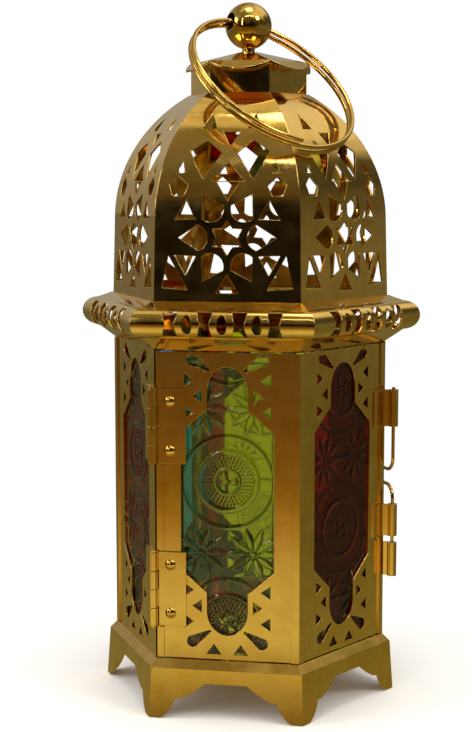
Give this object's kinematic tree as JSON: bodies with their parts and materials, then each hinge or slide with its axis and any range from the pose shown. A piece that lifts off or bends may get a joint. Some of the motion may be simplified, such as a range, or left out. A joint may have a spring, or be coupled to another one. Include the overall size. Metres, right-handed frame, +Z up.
{
  "type": "hexagonal candle lantern",
  "caption": "Six-sided pressed-metal candle lantern with coloured glass panes, pierced dome, hinged door with slide bolt and a carrying ring.",
  "frame": {"origin": "on the ground plane, under the lantern's vertical axis", "axes": "+Z up; the hinged front of the door faces -Y; the door's slide bolt is on +X"},
  "size_m": [0.0904, 0.0782, 0.1802],
  "materials": {
    "gilt_sheet": "polished yellow gold plate on sheet metal",
    "gilt_turned": "polished yellow gold plate on turned pieces and wire",
    "glass_lime": "pressed, transparent yellow-green",
    "glass_red": "pressed, transparent red",
    "glass_green": "pressed, transparent green",
    "glass_yellow": "pressed, transparent yellow",
    "glass_blue": "pressed, transparent blue"
  },
  "bodies": {
    "lantern": {"base_tray": "gilt_sheet", "tealight_cup": "gilt_sheet", "cup_rivet": "gilt_turned", "wall_left": "gilt_sheet", "wall_rear_left": "gilt_sheet", "wall_rear": "gilt_sheet", "wall_rear_right": "gilt_sheet", "glass_rear_right": "glass_green", "glass_rear": "glass_yellow", "glass_rear_left": "glass_blue", "glass_left": "glass_red", "hinge_leaf_frame_upper": "gilt_sheet", "hinge_leaf_frame_lower": "gilt_sheet", "hinge_pin_upper": "gilt_turned", "hinge_pin_lower": "gilt_turned", "hinge_rivets_frame": "gilt_turned", "latch_keeper": "gilt_sheet", "collar_skirt": "gilt_sheet", "gallery_rail": "gilt_sheet", "collar_deck": "gilt_sheet", "dome_panel_front": "gilt_sheet", "dome_panel_right": "gilt_sheet", "dome_panel_rear_right": "gilt_sheet", "dome_panel_rear": "gilt_sheet", "dome_panel_rear_left": "gilt_sheet", "dome_panel_left": "gilt_sheet", "neck_band": "gilt_sheet", "cap_plate": "gilt_sheet", "finial": "gilt_turned", "finial_nut": "gilt_turned"},
    "door": {"door_frame": "gilt_sheet", "glass_front": "glass_lime", "glass_right": "glass_red", "hinge_leaf_door_upper": "gilt_sheet", "hinge_leaf_door_lower": "gilt_sheet", "hinge_rivets_door": "gilt_turned", "latch_guide_upper": "gilt_sheet", "latch_guide_lower": "gilt_sheet"},
    "bolt": {"latch_bolt": "gilt_turned"},
    "ring": {"split_ring": "gilt_turned"}
  },
  "joints": [
    {"name": "door_hinge", "type": "hinge", "parent": "lantern", "child": "door", "pos_m": [-0.0187, -0.03239, 0.055], "axis": [0, 0, -1], "range_deg": [0, 200]},
    {"name": "bolt_slide", "type": "slide", "parent": "door", "child": "bolt", "axis": [0, 0, 1], "range_m": [-0.0012, 0.0082]},
    {"name": "ring_swing", "type": "hinge", "parent": "lantern", "child": "ring", "pos_m": [0, 0, 0.1742], "axis": [-0.748, -0.6411, 0.1719], "range_deg": [0, 265]}
  ]
}
